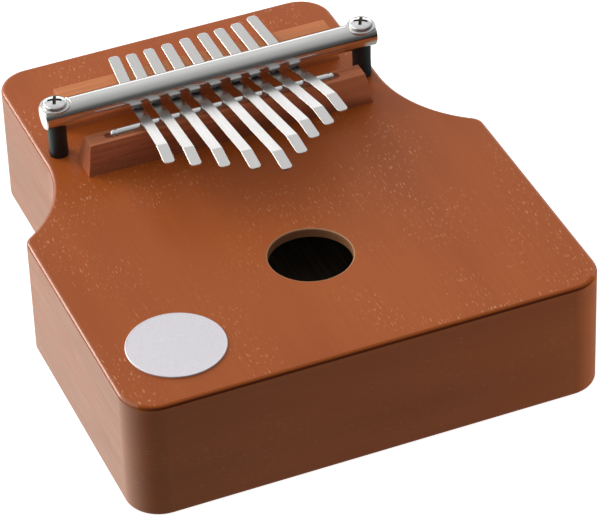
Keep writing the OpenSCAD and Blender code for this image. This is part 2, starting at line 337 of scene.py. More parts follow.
bar_steel = steel("bar_steel", rgb(0.8, 0.795, 0.785), rough=0.19, streaks=0.35)
rod_steel = steel("rod_steel", rgb(0.8, 0.8, 0.79), rough=0.12, streaks=0.25)
screw_chrome = chrome("screw_chrome")
washer_steel = steel("washer_steel", rgb(0.78, 0.78, 0.77), rough=0.3, streaks=0.3)
# Darker metal for the faces of the screws' cross recesses.
dark_recess_metal = steel("dark_recess_metal", rgb(0.16, 0.14, 0.11), rough=0.4, streaks=0.3)
sleeve_rubber = rubber("sleeve_rubber")
disc_foil = foil("disc_foil")
lining = bare_lining("bare_lining")
spruce = bare_spruce("bare_spruce")


# ---- Mesh helpers ------------------------------------------------------------

def start_mesh():
    bm = bmesh.new()
    bm.loops.layers.uv.new("grain")
    bm.verts.layers.float.new("wear_and_painted_light")
    return bm


def add_ring(bm, points, wear_and_painted_light=0.0):
    """A closed ring of vertices, each with the same wear value, which also carries painted highlights and
    the fade-out of painted shade.
    """
    layer = bm.verts.layers.float["wear_and_painted_light"]
    ring = [bm.verts.new(p) for p in points]
    for v in ring:
        v[layer] = wear_and_painted_light
    return ring


def lengths_along(points):
    """The running length at each point of a closed outline, and once round at the end."""
    total = [0.0]
    for a, b in zip(points, points[1:] + points[:1]):
        total.append(total[-1] + (Vector(b) - Vector(a)).length)
    return total


def skin(bm, low, high, along, u_low, u_high, slot=0):
    """Quads between two rings. U runs across from ring to ring and V along the rings."""
    uv = bm.loops.layers.uv["grain"]
    count = len(low)
    for i in range(count):
        j = (i + 1) % count
        face = bm.faces.new((low[i], low[j], high[j], high[i]))
        face.material_index = slot
        face.smooth = True
        places = ((u_low, along[i]), (u_low, along[i + 1]), (u_high, along[i + 1]), (u_high, along[i]))
        for loop, place in zip(face.loops, places):
            loop[uv].uv = place


def fill_flat(bm, rings, slot=0, across=(1, 0, 0), grain=(0, 1, 0)):
    """Fills the flat area between an outer ring and any holes in it."""
    edges = []
    for ring in rings:
        for i, v in enumerate(ring):
            w = ring[(i + 1) % len(ring)]
            edges.append(bm.edges.get((v, w)) or bm.edges.new((v, w)))
    made = bmesh.ops.triangle_fill(bm, edges=edges, use_beauty=True, use_dissolve=False)
    faces = [f for f in made["geom"] if isinstance(f, bmesh.types.BMFace)]
    uv = bm.loops.layers.uv["grain"]
    for face in faces:
        face.material_index = slot
        face.smooth = True
        for loop in face.loops:
            loop[uv].uv = (loop.vert.co.dot(Vector(across)), loop.vert.co.dot(Vector(grain)))


def circle(centre, radius, z, count):
    cx, cy = centre
    angles = [2 * math.pi * i / count for i in range(count)]
    return [(cx + radius * math.cos(a), cy + radius * math.sin(a), z) for a in angles]


def quarter(steps):
    """Pairs (1 - cos, 1 - sin) over a quarter turn: how far a rounded edge moves in and down."""
    angles = [math.pi / 2 * k / steps for k in range(steps + 1)]
    return [(1 - math.cos(a), 1 - math.sin(a)) for a in angles]


def make_object(name, bm, materials, sharp=40.0):
    """An object from a mesh being built. Edges bent by more than sharp degrees stay crisp."""
    bmesh.ops.recalc_face_normals(bm, faces=bm.faces)
    mesh = bpy.data.meshes.new(name)
    bm.to_mesh(mesh)
    bm.free()
    for material in materials:
        mesh.materials.append(material)
    mesh.set_sharp_from_angle(angle=math.radians(sharp))
    made = link(bpy.data.objects.new(name, mesh))
    normals = made.modifiers.new("even_normals", "WEIGHTED_NORMAL")
    normals.keep_sharp = True
    normals.weight = 100
    return made


def place_piece(made, slot, *nodes):
    """Puts a finished piece on the box's body, in place of its CAD nodes."""
    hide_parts(*nodes)
    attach(made, BODY)


def cut_away(made, cutters, keep_material="INDEX"):
    """Subtracts the cutters from a piece for good, and removes them."""
    for cutter in cutters:
        boolean = made.modifiers.new("cut", "BOOLEAN")
        boolean.object = cutter
        boolean.operation = "DIFFERENCE"
        boolean.solver = "EXACT"
        boolean.material_mode = keep_material
        made.modifiers.move(len(made.modifiers) - 1, 0)
    graph = bpy.context.evaluated_depsgraph_get()
    for other in made.modifiers:
        other.show_viewport = other.type == "BOOLEAN"
    graph.update()
    evaluated = made.evaluated_get(graph)
    made.data = bpy.data.meshes.new_from_object(evaluated, preserve_all_data_layers=True, depsgraph=graph)
    for boolean in [m for m in made.modifiers if m.type == "BOOLEAN"]:
        made.modifiers.remove(boolean)
    for other in made.modifiers:
        other.show_viewport = True
    for cutter in cutters:
        bpy.data.objects.remove(cutter)


# ---- Sound box ---------------------------------------------------------------

top_low, top_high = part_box("soundboard")
rim_low, rim_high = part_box("side_rim")
back_low, back_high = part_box("back_plate")
brace_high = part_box("bridge_brace")[1]

# Plan of the box: a wide front, a hollow waist on each side and a narrower neck behind.
WALL = 10 * MM
HALF_W = top_high.x
HALF_NECK = brace_high.x + WALL
FRONT_Y = top_low.y
REAR_Y = top_high.y
TOP_Z = top_high.z
CORNER_R = 11.5 * MM
SHOULDER_R = 5 * MM
WAIST_R = 44.5 * MM
WAIST_X = HALF_NECK + WAIST_R
WAIST_Y = 39.8 * MM
HOLE_R = 13.7 * MM
HOLE_Y = -43 * MM
BORE_R = 2.2 * MM

# Softened edges, and how finely round stretches are divided.
TOP_ROUND = 1.2 * MM
BOTTOM_ROUND = 1.2 * MM
HOLE_ROUND = 0.45 * MM
BORE_ROUND = 0.1 * MM
ROUND_STEPS = 8
CORNER_ARC = 12
SHOULDER_ARC = 10
WAIST_ARC = 40
HOLE_STEPS = 4
HOLE_SIDES = 96
BORE_SIDES = 24

# The painted shade on the front edge, a dark line standing in for the dark reflection there: depths below
# the top, and how far around the corners it goes.
SHADE_TOP = 0.15 * MM
SHADE_FADE = 0.4 * MM
SHADE_LOW = 1.0 * MM
SHADE_END = 0.7
FACE_MARGIN = 0.01 * MM

# How far towards the lightest tone: all the way, where the painted shade on the front edge fades out; wear
# and a painted highlight on the rims of holes; and wear next to them.
FULL_LIGHT_TONE = 1 / WOOD_WEAR_AND_PAINTED_LIGHT
RIM_WEAR_AND_HIGHLIGHT = 2.0
FACE_WEAR = 0.6

# Material slots of the soundboard.
FACE_SLOT, HOLE_SLOT, LINING_SLOT, EDGE_SLOT, WALL_SLOT, PAINTED_SHADE_SLOT = range(6)


def arc(cx, cy, r, start, end, count):
    """Points on an arc from start to end, in degrees."""
    angles = [math.radians(start + (end - start) * i / count) for i in range(count + 1)]
    return [(cx + r * math.cos(a), cy + r * math.sin(a)) for a in angles]


def half_outline(inset):
    """The right half of the plan from the front corner to the rear corner, moved in by inset."""
    half_w = HALF_W - inset
    corner = CORNER_R - inset
    waist = WAIST_R + inset
    points = arc(HALF_W - CORNER_R, FRONT_Y + CORNER_R, corner, -90, 0, CORNER_ARC)
    if inset < SHOULDER_R:
        shoulder_x = HALF_W - SHOULDER_R
        reach_x = WAIST_X - shoulder_x
        shoulder_y = WAIST_Y - math.sqrt((WAIST_R + SHOULDER_R) ** 2 - reach_x ** 2)
        meet = math.degrees(math.atan2(WAIST_Y - shoulder_y, reach_x))
        points += arc(shoulder_x, shoulder_y, SHOULDER_R - inset, 0, meet, SHOULDER_ARC)
        points += arc(WAIST_X, WAIST_Y, waist, 180 + meet, 180, WAIST_ARC)[1:]
    else:
        meet = math.degrees(math.acos((WAIST_X - half_w) / waist))
        points += arc(WAIST_X, WAIST_Y, waist, 180 + meet, 180, WAIST_ARC)
    points += arc(HALF_NECK - CORNER_R, REAR_Y - CORNER_R, corner, 0, 90, CORNER_ARC)
    return points


def outline(inset, z):
    """The whole plan of the box at height z, moved in by inset."""
    right = half_outline(inset)
    left = [(-x, y) for x, y in reversed(right)]
    return [(x, y, z) for x, y in right + left]


def bored_screws():
    """The plan positions of the left and the right screw."""
    low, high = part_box("screw_washers")
    y = (low.y + high.y) / 2
    reach = (high.y - low.y) / 2
    return [(low.x + reach, y), (high.x - reach, y)]


SCREWS = bored_screws()


def rounded_wall(bm, flat_z, face_z, edge_r, along, wall_slot=0, round_slot=0):
    """The outer edge of a plate from the flat side's height to its rounded side's."""
    side = math.copysign(1, face_z - flat_z)
    rings = [(add_ring(bm, outline(0, flat_z)), flat_z)]
    for k, (inward, down) in enumerate(quarter(ROUND_STEPS)):
        z = face_z - side * edge_r * down
        # Paler towards the middle of the round: edge wear and a painted highlight.
        wear_and_painted_light = math.sin(math.pi * k / ROUND_STEPS)
        rings.append((add_ring(bm, outline(edge_r * inward, z), wear_and_painted_light), z + side * edge_r * inward))
    for k, ((low, u_low), (high, u_high)) in enumerate(zip(rings, rings[1:])):
        skin(bm, low, high, along, u_low, u_high, round_slot if k else wall_slot)
    return rings[0][0], rings[-1][0]


def round_hole(bm, centre, radius, edge_r, count):
    """The wall of a hole through the soundboard, with a rim made paler by wear and a painted highlight.
    Returns its top and bottom rings.
    """
    rings = []
    # The rim's rings are paler, from wear and a painted highlight; the ring on the face has wear only.
    ring_wear_and_highlight = [FACE_WEAR] + [RIM_WEAR_AND_HIGHLIGHT] * (HOLE_STEPS - 1) + [0.0]
    for wear_and_painted_light, (inward, down) in zip(ring_wear_and_highlight, reversed(quarter(HOLE_STEPS))):
        points = circle(centre, radius + edge_r * inward, TOP_Z - edge_r * down, count)
        rings.append(add_ring(bm, points, wear_and_painted_light))
    rings.append(add_ring(bm, circle(centre, radius, top_low.z, count)))
    along = [2 * math.pi * radius * i / count for i in range(count + 1)]
    for low, high in zip(rings, rings[1:]):
        skin(bm, low, high, along, low[0].co.z, high[0].co.z, HOLE_SLOT)
    return rings[0], rings[-1]


def front_facing(point):
    """1 on the straight front edge of the box, falling to 0 around its front corners."""
    across = max(abs(point.x) - HALF_W + CORNER_R, 0.0)
    ahead = FRONT_Y + CORNER_R - point.y
    return ahead / math.hypot(across, ahead) if ahead > 0 else 0.0


def paint_front_edge_shade(bm):
    """Painted shade on the round of the front edge: a dark line standing in for its dark reflection, faded
    out at its top, at its foot and around the corners.
    The flat top face keeps its own wear."""
    wear_and_painted_light = bm.verts.layers.float["wear_and_painted_light"]
    shaded = set()
    for face in bm.faces:
        if face.material_index == EDGE_SLOT and front_facing(face.calc_center_median()) > SHADE_END:
            face.material_index = PAINTED_SHADE_SLOT
            shaded.update(v for v in face.verts if v.co.z < TOP_Z - FACE_MARGIN)
    for v in shaded:
        up = 1 - (TOP_Z - SHADE_TOP - v.co.z) / SHADE_FADE
        low = (TOP_Z - SHADE_LOW - v.co.z) / SHADE_FADE
        corner = (1 - front_facing(v.co)) / (1 - SHADE_END)
        v[wear_and_painted_light] = FULL_LIGHT_TONE * min(max(up, low, corner, 0.0), 1.0)


def make_soundboard():
    """The top plate, with the sound hole and the two screw bores."""
    bm = start_mesh()
    along = lengths_along(outline(0, 0))
    under, upper = rounded_wall(bm, top_low.z, TOP_Z, TOP_ROUND, along, WALL_SLOT, EDGE_SLOT)
    hole_top, hole_under = round_hole(bm, (0, HOLE_Y), HOLE_R, HOLE_ROUND, HOLE_SIDES)
    bores = [round_hole(bm, centre, BORE_R, BORE_ROUND, BORE_SIDES) for centre in SCREWS]
    fill_flat(bm, [upper, hole_top] + [b[0] for b in bores], FACE_SLOT)
    fill_flat(bm, [under, hole_under] + [b[1] for b in bores], LINING_SLOT)
    # Paints the dark shade onto the round of the front edge.
    paint_front_edge_shade(bm)
    materials = [top_wood, hole_wood, lining, edge_wood, wall_wood, front_edge_painted_shade]
    place_piece(make_object("soundboard_plate", bm, materials), "box_wood", "soundboard")


def make_rim():
    """The side wall, bare wood on the inside."""
    bm = start_mesh()
    low_z, high_z = rim_low.z, rim_high.z
    along = lengths_along(outline(0, 0))
    outer = [add_ring(bm, outline(0, z)) for z in (low_z, high_z)]
    inner = [add_ring(bm, outline(WALL, z)) for z in (low_z, high_z)]
    skin(bm, outer[0], outer[1], along, low_z, high_z)
    skin(bm, inner[0], inner[1], lengths_along(outline(WALL, 0)), low_z, high_z, slot=1)
    fill_flat(bm, [outer[0], inner[0]])
    fill_flat(bm, [outer[1], inner[1]])
    place_piece(make_object("rim_wall", bm, [wall_wood, lining]), "box_wood", "side_rim")


def make_back():
    """The back plate, with a rounded lower edge."""
    bm = start_mesh()
    along = lengths_along(outline(0, 0))
    upper, under = rounded_wall(bm, back_high.z, back_low.z, BOTTOM_ROUND, along)
    fill_flat(bm, [upper], slot=1)
    fill_flat(bm, [under])
    place_piece(make_object("back_panel", bm, [wall_wood, lining]), "box_wood", "back_plate")


# How far the disc's rolled rim moves in and down, in millimetres, from its side to its face.
DISC_RIM = ((0, 0.3), (0.06, 0.1), (0.2, 0), (0.45, 0), (0.6, 0.08))
DISC_SIDES = 128


def make_disc():
    """A plain foil disc with a thin rolled rim."""
    low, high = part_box("trim_disc")
    centre = ((low.x + high.x) / 2, (low.y + high.y) / 2)
    radius = (high.x - low.x) / 2
    profile = [(radius, low.z)]
    profile += [(radius - inward * MM, high.z - down * MM) for inward, down in DISC_RIM]
    bm = start_mesh()
    rings = [add_ring(bm, circle(centre, r, z, DISC_SIDES)) for r, z in profile]
    along = [2 * math.pi * radius * i / DISC_SIDES for i in range(DISC_SIDES + 1)]
    for a, b in zip(rings, rings[1:]):
        skin(bm, a, b, along, a[0].co.z, b[0].co.z)
    fill_flat(bm, [rings[0]])
    fill_flat(bm, [rings[-1]])
    place_piece(make_object("foil_disc", bm, [disc_foil], sharp=50), "polished_metal", "trim_disc")


make_soundboard()
make_rim()
make_back()
make_disc()


# ---- Bridge blocks and rest rod ------------------------------------------------

# How far each face of a block leans in over its height: towards the bar, away from it, and at the ends.
LEAN_INNER = 3.4 * MM
LEAN_OUTER = 1.9 * MM
LEAN_END = 1.8 * MM
BLOCK_EDGE = 0.35 * MM
CORNER_WEAR = 0.8
FLAT_WEAR = 0.3
END_GRAIN = 0.25

# The rod's domed ends and the turned neck behind each.
ROD_FLAT_R = 0.3 * MM
ROD_DOME = 1.1 * MM
ROD_SIDES = 48
ROD_NECK = 2.0 * MM
ROD_NECK_DEPTH = 0.22 * MM
NECK_TOP_HALF = 0.35 * MM
NECK_FLOOR_HALF = 0.15 * MM
NECK_WEAR = 0.3

# Room for the rod in its groove.
GROOVE_PLAY = 0.02 * MM
GROOVE_SLACK = 0.3 * MM


def make_block(name, node, lean_front, lean_back, material, slot_name):
    """A bridge block: a bar with leaning faces, sawn grain along its length and softened edges."""
    low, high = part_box(node)
    base = [(low.x, low.y), (high.x, low.y), (high.x, high.y), (low.x, high.y)]
    top = [(low.x + LEAN_END, low.y + lean_front), (high.x - LEAN_END, low.y + lean_front),
           (high.x - LEAN_END, high.y - lean_back), (low.x + LEAN_END, high.y - lean_back)]
    bm = start_mesh()
    low_ring = add_ring(bm, [(x, y, low.z) for x, y in base])
    high_ring = add_ring(bm, [(x, y, high.z) for x, y in top])
    bm.faces.new(reversed(low_ring))
    bm.faces.new(high_ring)
    for i in range(4):
        j = (i + 1) % 4
        bm.faces.new((low_ring[i], low_ring[j], high_ring[j], high_ring[i]))
    soft = [e for e in bm.edges if max(v.co.z for v in e.verts) > low.z + BLOCK_EDGE]
    bmesh.ops.bevel(bm, geom=soft, offset=BLOCK_EDGE, segments=3, profile=0.5, affect="EDGES")
    wear_and_painted_light = bm.verts.layers.float["wear_and_painted_light"]
    for v in bm.verts:
        v[wear_and_painted_light] = CORNER_WEAR if len(v.link_faces) > 3 else FLAT_WEAR
    uv = bm.loops.layers.uv["grain"]
    for face in bm.faces:
        face.smooth = True
        n = face.normal
        for loop in face.loops:
            x, y, z = loop.vert.co
            across = z if abs(n.y) > abs(n.z) else y
            loop[uv].uv = (y, z * END_GRAIN) if abs(n.x) > 0.7 else (across, x)
    made = make_object(name, bm, [material], sharp=30)
    place_piece(made, slot_name, node)
    return made


def round_bar(name, profile, centre, segments, material):
    """A bar turned about a line along X from a profile of (x, radius) pairs."""
    bm = start_mesh()
    rings = []
    widest = max(r for _, r in profile)
    angles = [2 * math.pi * i / segments for i in range(segments)]
    for x, r in profile:
        points = [(centre.x + x, centre.y + r * math.cos(a), centre.z + r * math.sin(a)) for a in angles]
        rings.append(add_ring(bm, points, NECK_WEAR if r < widest else 0.0))
    uv = bm.loops.layers.uv["grain"]
    step = 2 * math.pi * widest / segments
    for (x0, _), (x1, _), a, b in zip(profile, profile[1:], rings, rings[1:]):
        for i in range(segments):
            j = (i + 1) % segments
            face = bm.faces.new((a[i], a[j], b[j], b[i]))
            face.smooth = True
            places = ((i * step, x0), ((i + 1) * step, x0), ((i + 1) * step, x1), (i * step, x1))
            for loop, place in zip(face.loops, places):
                loop[uv].uv = place
    fill_flat(bm, [rings[0]], across=(0, 1, 0), grain=(0, 0, 1))
    fill_flat(bm, [rings[-1]], across=(0, 1, 0), grain=(0, 0, 1))
    return make_object(name, bm, [material], sharp=35)


def middle(low, high):
    return (low + high) / 2


def make_rod():
    """The rest rod: a pin with domed ends, each behind a narrow turned neck."""
    low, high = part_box("rest_rod")
    radius = (high.z - low.z) / 2
    half = (high.x - low.x) / 2
    neck = half - ROD_NECK
    floor = radius - ROD_NECK_DEPTH
    dome = [math.pi / 2 * (1 - k / 6) * 0.94 for k in range(7)]
    end = [(half - 0.001 * MM, ROD_FLAT_R)]
    end += [(half - ROD_DOME * (1 - math.sin(a)), radius * math.cos(a)) for a in dome]
    end += [(neck + NECK_TOP_HALF, radius), (neck + NECK_FLOOR_HALF, floor)]
    end += [(neck - NECK_FLOOR_HALF, floor), (neck - NECK_TOP_HALF, radius)]
    profile = [(-x, r) for x, r in end] + [(x, r) for x, r in reversed(end)]
    made = round_bar("rest_rod_steel", profile, middle(low, high), ROD_SIDES, rod_steel)
    place_piece(made, "polished_metal", "rest_rod")


def groove_cutter():
    """The groove that the rest rod lies in: a capsule slightly longer and wider than the rod."""
    low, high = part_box("rest_rod")
    radius = (high.z - low.z) / 2 + GROOVE_PLAY
    half = (high.x - low.x) / 2 + GROOVE_SLACK
    bm = bmesh.new()
    bmesh.ops.create_uvsphere(bm, u_segments=48, v_segments=24, radius=radius)
    bmesh.ops.rotate(bm, verts=bm.verts, matrix=Matrix.Rotation(math.pi / 2, 3, "Y"))
    for v in bm.verts:
        v.co.x += math.copysign(half, v.co.x) if abs(v.co.x) > 1e-9 else 0
    mesh = bpy.data.meshes.new("groove")
    bm.to_mesh(mesh)
    bm.free()
    cutter = link(bpy.data.objects.new("groove", mesh))
    cutter.location = middle(low, high)
    return cutter


front_block = make_block("front_block", "front_bridge_block", LEAN_OUTER, LEAN_INNER, dark_wood, "dark_wood")
cut_away(front_block, [groove_cutter()])
make_block("rear_block", "rear_bridge_block", LEAN_INNER, LEAN_OUTER, light_wood, "light_wood")
make_rod()


# ---- Clamp -------------------------------------------------------------------

bar_low, bar_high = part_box("clamp_bar")
washer_low, washer_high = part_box("screw_washers")
screw_low, screw_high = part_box("clamp_screws")

# The bar. Its axis is one radius above its lowest line.
BAR = middle(bar_low, bar_high)
BAR_R = (bar_high.y - bar_low.y) / 2
BAR.z = bar_low.z + BAR_R
BAR_CHAMFER = 0.35 * MM
BAR_SIDES = 160

# The flat seats for the washers, cut into the bar from above.
SEAT_PLAY = 0.2 * MM
SEAT_Z = washer_low.z
SEAT_R = (washer_high.y - washer_low.y) / 2 + SEAT_PLAY
SEAT_CLEAR = 20 * MM
WASHER_EDGE = 0.15 * MM

# The screws: head, shank and point. The lip is where the washer meets the head, as millimetres
# (in from the head's rim, up from the washer).
HEAD_R = 4 * MM
HEAD_RIM = 0.9 * MM
HEAD_SOFT = 0.25 * MM
HEAD_LIP = ((0.5, 0), (0.45, 0.15), (0, 0.42))
DOME_STEPS = 16
SCREW_SIDES = 96
WASHER_SIDES = 72
SHANK_R = 2 * MM
POINT_L = 5 * MM
POINT_TIP_R = 0.5 * MM
POINT_TIP_L = 0.4 * MM

# The crossed recess in each head: its depth, its wings' reach and half width above and on its floor.
CROSS_RISE = 0.3 * MM
CROSS_DEPTH = 1.8 * MM
WING_TOP = 3.0 * MM
WING_FLOOR = 1.0 * MM
WING_TOP_HALF = 0.6 * MM
WING_FLOOR_HALF = 0.36 * MM
CROSS_TURNS = {"left": -21, "right": -29}

# How a sleeve bulges, as (share of its height, millimetres outwards).
SLEEVE_BULGE = ((0.0, -0.12), (0.05, 0.0), (0.2, -0.08), (0.5, -0.16), (0.8, -0.1), (1.0, -0.05))
SLEEVE_SIDES = 64

# Metres of grain around a turned part, for each radian.
TURNED_GRAIN = 4 * MM


def revolve(bm, centre, profile, count):
    """Turns a profile of (radius, z) pairs about a vertical line. A radius of 0 closes the end."""
    uv = bm.loops.layers.uv["grain"]
    cx, cy = centre
    rings = []
    for r, z in profile:
        points = [(cx, cy, z)] if r == 0 else circle(centre, r, z, count)
        rings.append(add_ring(bm, points))
    for a, b in zip(rings, rings[1:]):
        for i in range(count):
            j = (i + 1) % count
            corners = [a[i % len(a)], a[j % len(a)], b[j % len(b)], b[i % len(b)]]
            unique = list(dict.fromkeys(corners))
            if len(unique) < 3:
                continue
            face = bm.faces.new(unique)
            face.smooth = True
            for loop in face.loops:
                p = loop.vert.co
                loop[uv].uv = (p.z, math.atan2(p.y - cy, p.x - cx) * TURNED_GRAIN)


def seat_cutter(centre):
    """A flat-bottomed hole for one washer."""
    bm = start_mesh()
    top = SEAT_Z + SEAT_CLEAR
    revolve(bm, centre, [(0, SEAT_Z), (SEAT_R, SEAT_Z), (SEAT_R, top), (0, top)], SCREW_SIDES)
    return make_object("seat_cut", bm, [bar_steel])


def make_bar():
    """The clamp bar: a round bar with chamfered ends and a flat seat for each washer."""
    half = (bar_high.x - bar_low.x) / 2
    end = [(half, BAR_R - BAR_CHAMFER), (half - BAR_CHAMFER, BAR_R)]
    profile = [(-x, r) for x, r in end] + [(x, r) for x, r in reversed(end)]
    made = round_bar("clamp_bar_steel", profile, BAR, BAR_SIDES, bar_steel)
    cut_away(made, [seat_cutter(centre) for centre in SCREWS])
    place_piece(made, "bar_steel", "clamp_bar")


def make_washer(name, centre):
    """A punched washer: a chamfered lower edge and a rolled upper one."""
    r_in, r_out = BORE_R, SEAT_R - SEAT_PLAY
    low, high = washer_low.z, washer_high.z
    edge = WASHER_EDGE
    profile = [(r_in, low), (r_out - edge, low), (r_out, low + edge), (r_out, high - edge * 1.6),
               (r_out - edge * 0.6, high - edge * 0.4), (r_out - edge * 1.8, high), (r_in + edge, high),
               (r_in, high - edge), (r_in, low)]
    bm = start_mesh()
    revolve(bm, centre, profile, WASHER_SIDES)
    bmesh.ops.remove_doubles(bm, verts=bm.verts, dist=1e-7)
    place_piece(make_object(name, bm, [washer_steel], sharp=50), "polished_metal", "screw_washers")


def cross_cutter(centre, turned):
    """The crossed recess: four wings that narrow towards the floor."""
    levels = ((screw_high.z - CROSS_DEPTH, WING_FLOOR, WING_FLOOR_HALF),
              (screw_high.z + CROSS_RISE, WING_TOP, WING_TOP_HALF))
    bm = bmesh.new()
    rings = []
    for z, reach, half in levels:
        hub = Vector((*centre, z))
        ring = []
        for k in range(4):
            spin = Matrix.Rotation(math.pi / 2 * k + math.radians(turned), 3, "Z")
            for x, y in ((half, -half), (reach, -half), (reach, half)):
                ring.append(bm.verts.new(spin @ Vector((x, y, 0)) + hub))
        rings.append(ring)
    bm.faces.new(reversed(rings[0]))
    bm.faces.new(rings[1])
    for i in range(12):
        j = (i + 1) % 12
        bm.faces.new((rings[0][i], rings[0][j], rings[1][j], rings[1][i]))
    bmesh.ops.recalc_face_normals(bm, faces=bm.faces)
    mesh = bpy.data.meshes.new("cross")
    mesh.materials.append(dark_recess_metal)
    bm.to_mesh(mesh)
    bm.free()
    return link(bpy.data.objects.new("cross", mesh))


def make_screw(name, centre, turned):
    """A pan head with a domed top and a shank that ends in a point."""
    top, tip = screw_high.z, screw_low.z
    under = washer_high.z
    rim_top = under + HEAD_RIM
    dome = top - rim_top
    dome_r = (HEAD_R ** 2 + dome ** 2) / (2 * dome)
    spread = math.asin(HEAD_R / dome_r)
    profile = [(0, tip), (POINT_TIP_R, tip + POINT_TIP_L), (SHANK_R, tip + POINT_L), (SHANK_R, under)]
    profile += [(HEAD_R - inward * MM, under + up * MM) for inward, up in HEAD_LIP]
    profile += [(HEAD_R, rim_top - HEAD_SOFT), (HEAD_R - 0.06 * MM, rim_top - 0.3 * HEAD_SOFT)]
    for k in range(1, DOME_STEPS + 1):
        a = spread * 0.97 * (1 - k / DOME_STEPS)
        profile.append((dome_r * math.sin(a), top - dome_r * (1 - math.cos(a))))
    bm = start_mesh()
    revolve(bm, centre, profile, SCREW_SIDES)
    made = make_object(name, bm, [screw_chrome], sharp=35)
    cut_away(made, [cross_cutter(centre, turned)], "TRANSFER")
    place_piece(made, "polished_metal", "clamp_screws")


def under_bar(x, y):
    """The point on the underside of the bar above a point of the plan."""
    return (x, y, BAR.z - math.sqrt(BAR_R ** 2 - (y - BAR.y) ** 2))


def make_sleeve(name, node, centre):
    """A rubber tube squeezed a little by the bar, whose top follows the underside of the bar."""
    low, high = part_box(node)
    radius = (high.x - low.x) / 2
    count = SLEEVE_SIDES
    bm = start_mesh()
    rings = []
    for share, bulge in SLEEVE_BULGE:
        points = []
        for x, y, _ in circle(centre, radius + bulge * MM, 0, count):
            top = under_bar(x, y)[2]
            points.append((x, y, low.z + share * (top - low.z)))
        rings.append(add_ring(bm, points))
    rings.append(add_ring(bm, [under_bar(x, y) for x, y, _ in circle(centre, BORE_R, 0, count)]))
    rings.append(add_ring(bm, circle(centre, BORE_R, low.z, count)))
    rings.append(rings[0])
    along = [2 * math.pi * radius * i / count for i in range(count + 1)]
    for a, b in zip(rings, rings[1:]):
        skin(bm, a, b, along, 0, 1 * MM)
    place_piece(make_object(name, bm, [sleeve_rubber], sharp=50), "sleeve_rubber", node)


make_bar()
for side, centre in zip(("left", "right"), SCREWS):
    make_washer(f"washer_{side}", centre)
    make_screw(f"screw_{side}", centre, CROSS_TURNS[side])
    make_sleeve(f"sleeve_{side}", f"{side}_sleeve", centre)


# ---- Tines -------------------------------------------------------------------

TINE_W = 3.8 * MM
TINE_T = 0.8 * MM

# Slopes of the strip: from the bar to the rest rod, ahead of the rod, behind the bar and at the tip.
FRONT_RISE = 0.21
FREE_RISE = 0.16
REAR_RISE = 0.06
TIP_FALL = 0.12
TIP_L = 9.0 * MM
BEND_HALF = 1.5 * MM

# Radii of the rounded ends in plan, of the strip's long edges and of its bends.
TINE_CORNER = 1.3 * MM
TINE_EDGE = 0.16 * MM
KNEE_R = 0.9 * MM
FLEX_R = 60 * MM
CORNER_STEPS = 7
EDGE_STEPS = 3
END_SPAN = 4 * MM
TINE_WEAR = 0.5
GRAIN_SHIFT = 10 * MM

# Where a pluck bends the strip: from just behind the rod to well ahead of it.
FLEX_BEHIND = 2 * MM
FLEX_AHEAD = 16 * MM
FLEX_SHARE = 0.7


def filleted(points, radii, steps=6):
    """A polyline in (ahead, height) whose inner corners are replaced by short curves."""
    path = [points[0]]
    for a, b, c, radius in zip(points, points[1:], points[2:], radii):
        into, out = (b - a).normalized(), (c - b).normalized()
        bend = math.acos(max(-1, min(1, into.dot(out))))
        back = radius * math.tan(bend / 2)
        for k in range(steps + 1):
            t = k / steps
            start, end = b - into * back, b + out * back
            path.append(start * (1 - t) ** 2 + b * 2 * t * (1 - t) + end * t ** 2)
    path.append(points[-1])
    return path


def stations(path, ends):
    """Places along a path as (point, direction, length to the nearer end, length from the start).
    They are the path's own points and extra ones at the given lengths from both ends."""
    lengths = [0.0]
    for a, b in zip(path, path[1:]):
        lengths.append(lengths[-1] + (b - a).length)
    total = lengths[-1]
    marks = sorted(set(ends) | {total - e for e in ends} | set(lengths))
    marks = [m for k, m in enumerate(marks) if k == 0 or m - marks[k - 1] > 1e-6]
    found = []
    for mark in marks:
        k = max(i for i in range(len(lengths) - 1) if lengths[i] <= mark + 1e-9)
        a, b = path[k], path[k + 1]
        share = (mark - lengths[k]) / (lengths[k + 1] - lengths[k])
        found.append((a.lerp(b, share), (b - a).normalized(), min(mark, total - mark), mark))
    for i in range(1, len(found) - 1):
        before, after = found[i - 1][0], found[i + 1][0]
        point, _, to_end, mark = found[i]
        if before != after:
            found[i] = (point, (after - before).normalized(), to_end, mark)
    return found


def rounding(distance, radius):
    """How far a rounded corner has moved in at this distance from the end."""
    if distance >= radius:
        return 0.0
    return radius - math.sqrt(max(radius ** 2 - (radius - distance) ** 2, 0))


def section(half_w, half_t, edge):
    """A rounded rectangle as (across, up) pairs, counter-clockwise."""
    points = []
    for cx, cy, start in ((1, -1, -90), (1, 1, 0), (-1, 1, 90), (-1, -1, 180)):
        points += arc(cx * (half_w - edge), cy * (half_t - edge), edge, start, start + 90, EDGE_STEPS)
    return points


def end_marks():
    """Lengths from an end of the strip at which its rounded corners and edges need a section."""
    marks = [TINE_CORNER * inward for inward, _ in quarter(CORNER_STEPS)]
    marks += [TINE_EDGE * inward for inward, _ in quarter(EDGE_STEPS)]
    return marks + [END_SPAN * k for k in range(1, 5)]


def strip_corners(tip, tail, bar):
    """Corners of the bent strip as (ahead of the hinge, height), from its tip to its tail."""
    tip_angle = math.atan(TIP_FALL)
    knee = tip - TIP_L * math.cos(tip_angle)
    low = -FRONT_RISE * bar
    return [Vector((tip, FREE_RISE * knee - TIP_L * math.sin(tip_angle))),
            Vector((knee, FREE_RISE * knee)),
            Vector((0, 0)),
            Vector((-bar + BEND_HALF, low + FRONT_RISE * BEND_HALF)),
            Vector((-bar - BEND_HALF, low + REAR_RISE * BEND_HALF)),
            Vector((-tail, low + REAR_RISE * (tail - bar)))]


